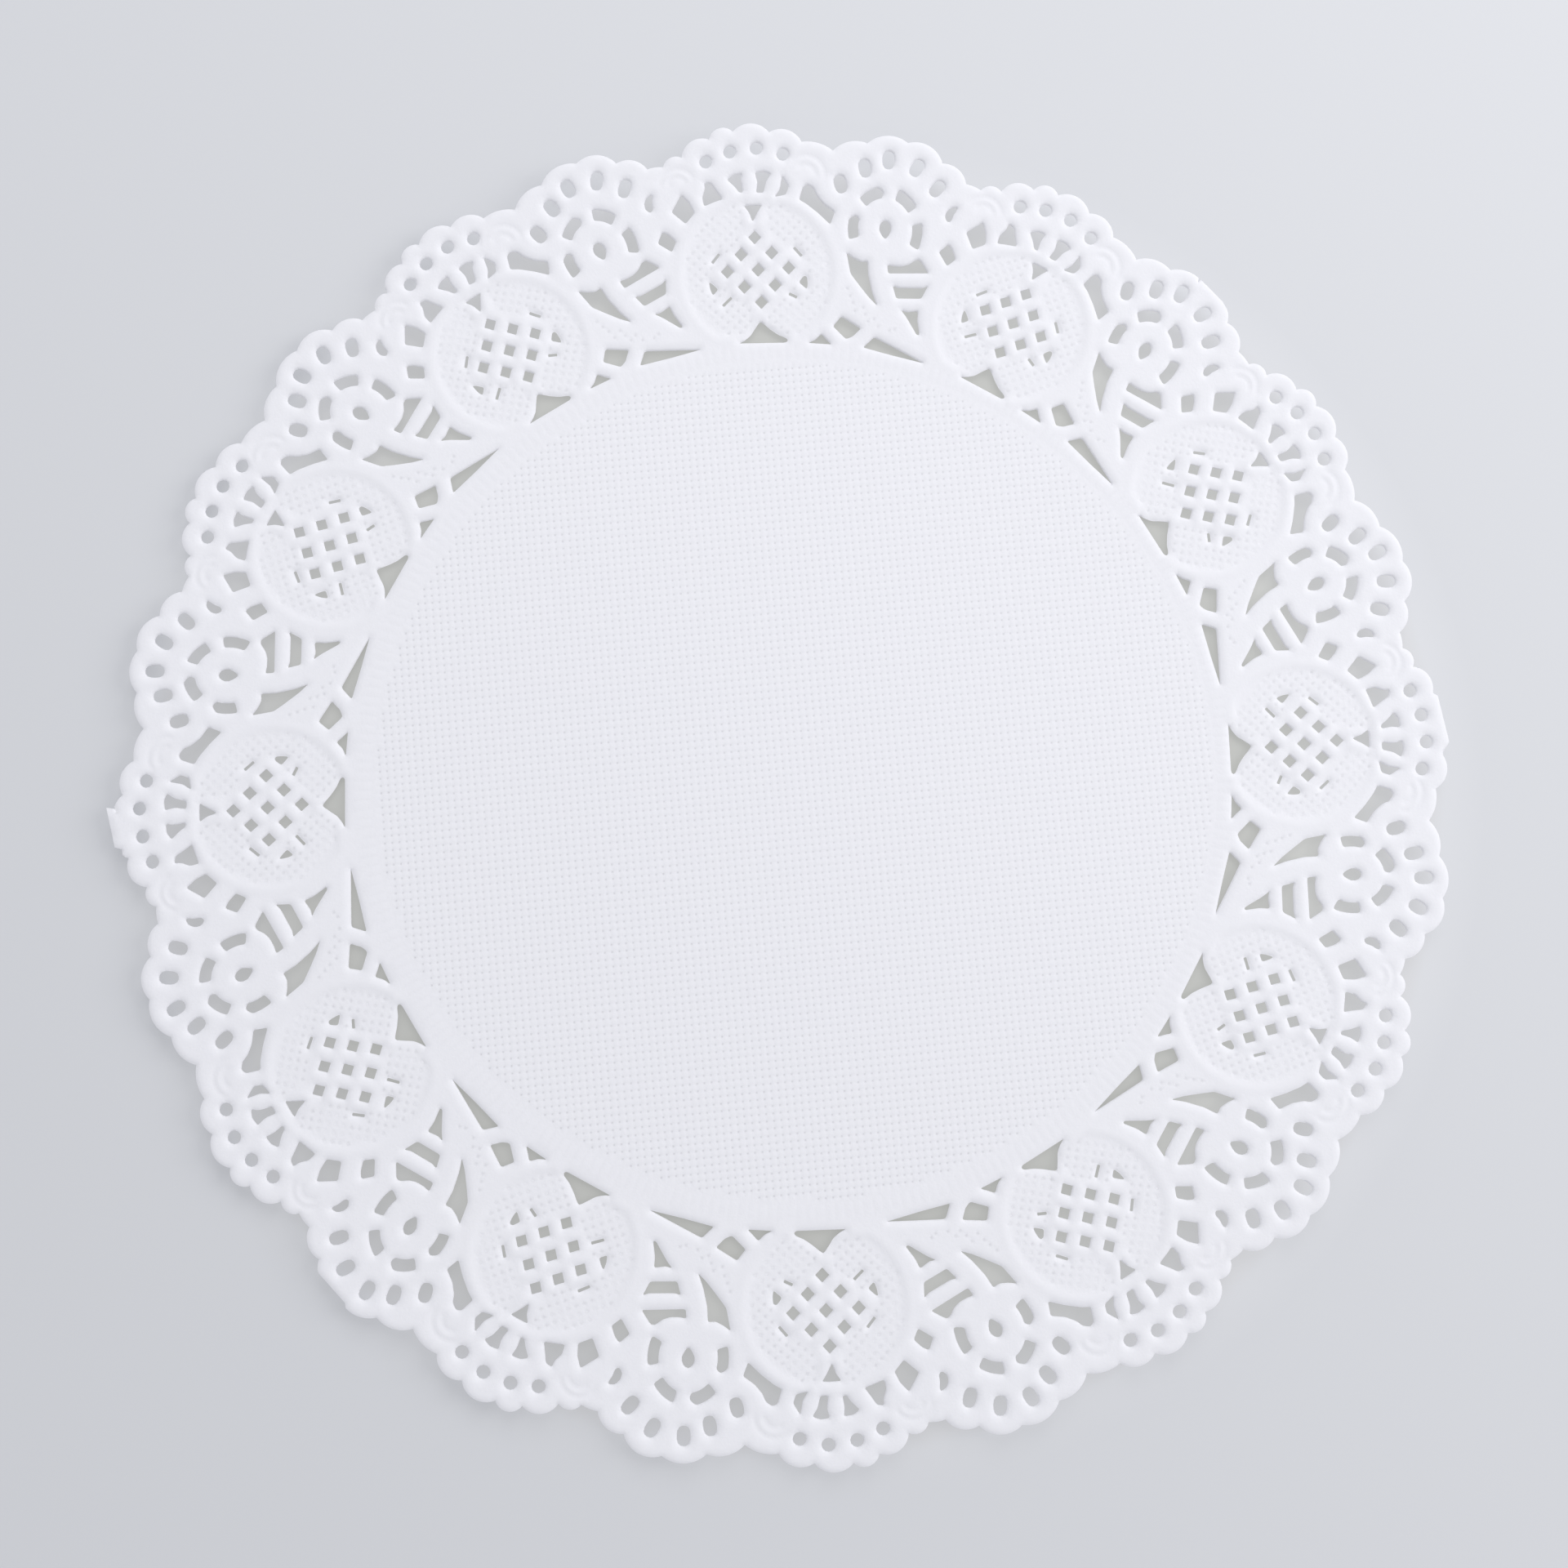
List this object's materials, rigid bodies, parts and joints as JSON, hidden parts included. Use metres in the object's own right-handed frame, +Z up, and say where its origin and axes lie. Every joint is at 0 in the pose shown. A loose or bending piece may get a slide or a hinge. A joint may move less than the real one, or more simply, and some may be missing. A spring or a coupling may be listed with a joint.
{
  "type": "paper lace doily",
  "caption": "Round white paper doily with a plain embossed middle and a die-cut lace border with a scalloped rim.",
  "frame": {"origin": "centre of the underside of the plain middle, which lies on the table", "axes": "+Z up off the table; +Y through the middle of one repeat of the lace, +X to the right of it seen from above"},
  "size_m": [0.19, 0.19, 0.0026],
  "materials": {
    "paper": "matt white embossed paper"
  },
  "bodies": {
    "root": {"doily_sheet": "paper"}
  },
  "joints": []
}
